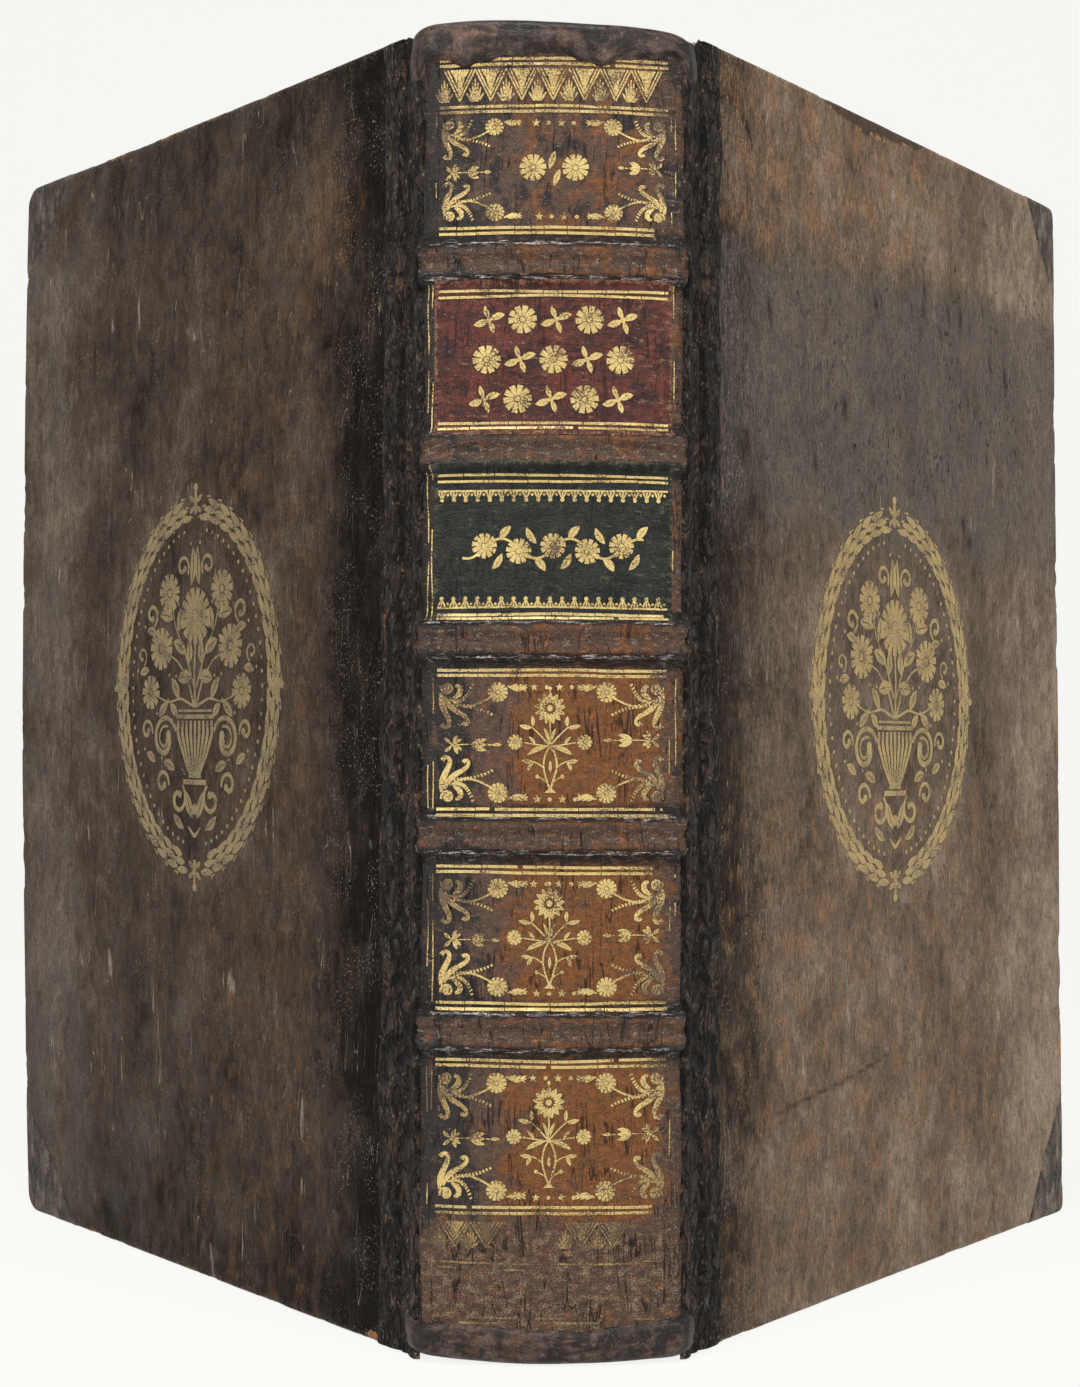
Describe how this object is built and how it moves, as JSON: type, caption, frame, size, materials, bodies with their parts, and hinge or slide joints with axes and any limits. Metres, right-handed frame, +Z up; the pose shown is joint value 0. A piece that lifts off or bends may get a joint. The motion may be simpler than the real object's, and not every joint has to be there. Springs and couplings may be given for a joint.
{
  "type": "leather-bound folio book",
  "caption": "Tall antique book in brown calf over boards, with raised bands, gilt spine, two labels and gilt ovals, standing with both covers part open.",
  "frame": {"origin": "middle of the box around the standing book, at the height of the covers' tail edges", "axes": "+Z up the spine from tail to head, -Y the way the spine faces, +X towards the front cover"},
  "size_m": [0.339, 0.224, 0.333],
  "materials": {
    "spine_calf": "polished calf, dark, cracked and rubbed",
    "repair_calf": "smooth dark repair calf",
    "front_calf": "grey-brown calf with dark flecks, worn",
    "back_calf": "dark brown calf, worn",
    "corner_calf": "darker repair calf at the corners",
    "red_label": "red goatskin, rubbed",
    "green_label": "dark green grained goatskin",
    "gold_leaf": "gold leaf, worn",
    "rubbed_gold": "gold leaf, dull and rubbed",
    "page_edges": "old rag paper, toned at the edges",
    "endpaper": "old rag paper, toned",
    "pasteboard": "laminated pasteboard",
    "parchment_lining": "parchment",
    "hemp_cord": "hemp cord",
    "endband_thread": "thread over a cord core"
  },
  "bodies": {
    "book": {"text_block": "page_edges", "front_flyleaf": "endpaper", "back_flyleaf": "endpaper", "sewing_cords_1": "hemp_cord", "sewing_cords_2": "hemp_cord", "sewing_cords_3": "hemp_cord", "sewing_cords_4": "hemp_cord", "sewing_cords_5": "hemp_cord", "spine_lining_1": "parchment_lining", "spine_lining_2": "parchment_lining", "spine_lining_3": "parchment_lining", "spine_lining_4": "parchment_lining", "spine_lining_5": "parchment_lining", "spine_lining_6": "parchment_lining", "spine_leather": "spine_calf", "headcap": "repair_calf", "tailcap": "repair_calf", "headband": "endband_thread", "tailband": "endband_thread", "title_label": "red_label", "second_label": "green_label", "label_gilt": "gold_leaf", "spine_fillets": "gold_leaf", "spine_rolls": "gold_leaf", "compartment_gilt_1": "gold_leaf", "compartment_gilt_4": "gold_leaf", "compartment_gilt_5": "gold_leaf", "compartment_gilt_6": "gold_leaf"},
    "front_cover": {"front_board": "pasteboard", "front_leather": "front_calf", "front_head_corner": "corner_calf", "front_tail_corner": "corner_calf", "front_joint": "repair_calf", "front_pastedown": "endpaper", "front_oval": "gold_leaf", "front_slips_1": "hemp_cord", "front_slips_2": "hemp_cord", "front_slips_3": "hemp_cord", "front_slips_4": "hemp_cord", "front_slips_5": "hemp_cord"},
    "back_cover": {"back_board": "pasteboard", "back_leather": "back_calf", "back_head_corner": "corner_calf", "back_tail_corner": "corner_calf", "back_joint": "repair_calf", "back_pastedown": "endpaper", "back_oval": "rubbed_gold", "back_slips_1": "hemp_cord", "back_slips_2": "hemp_cord", "back_slips_3": "hemp_cord", "back_slips_4": "hemp_cord", "back_slips_5": "hemp_cord"}
  },
  "joints": [
    {"name": "front_cover_hinge", "type": "hinge", "parent": "book", "child": "front_cover", "pos_m": [0.0363, -0.09853, 0.1665], "axis": [0, 0, -1], "range_deg": [-38.5, 141.5]},
    {"name": "back_cover_hinge", "type": "hinge", "parent": "book", "child": "back_cover", "pos_m": [-0.0363, -0.09853, 0.1665], "axis": [0, 0, 1], "range_deg": [-38.5, 141.5]}
  ]
}
